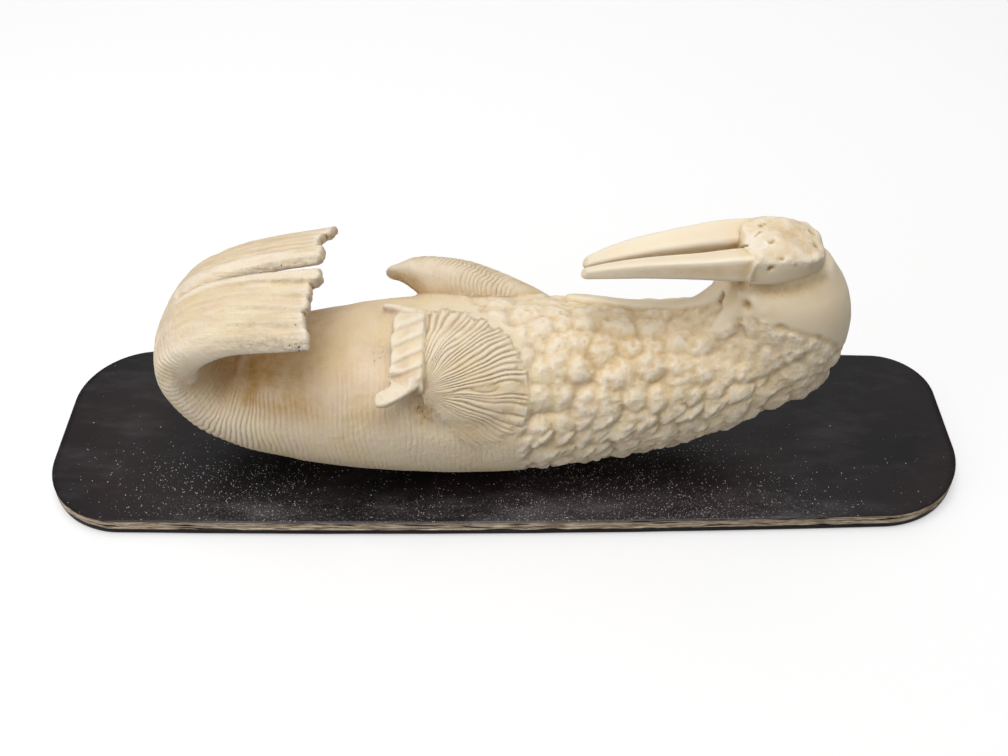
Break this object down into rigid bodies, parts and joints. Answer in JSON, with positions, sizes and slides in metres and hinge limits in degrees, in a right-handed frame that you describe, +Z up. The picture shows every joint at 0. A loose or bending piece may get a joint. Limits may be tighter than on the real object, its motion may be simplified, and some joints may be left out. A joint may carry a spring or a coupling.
{
  "type": "walrus carving",
  "caption": "Walrus carved in the round, lying on its back with tail curled up and tusks held over its chest, on a thin rounded black base board.",
  "frame": {"origin": "centre of the base board's underside", "axes": "+Z up, +X along the carving towards the head, -Y towards the side seen in the picture"},
  "size_m": [0.228, 0.0604, 0.0725],
  "materials": {
    "board": "semi-gloss black laminated board, brown layers at the edge",
    "ivory": "satin cream ivory with tan patina"
  },
  "bodies": {
    "root": {"board": "board", "walrus": "ivory"}
  },
  "joints": []
}
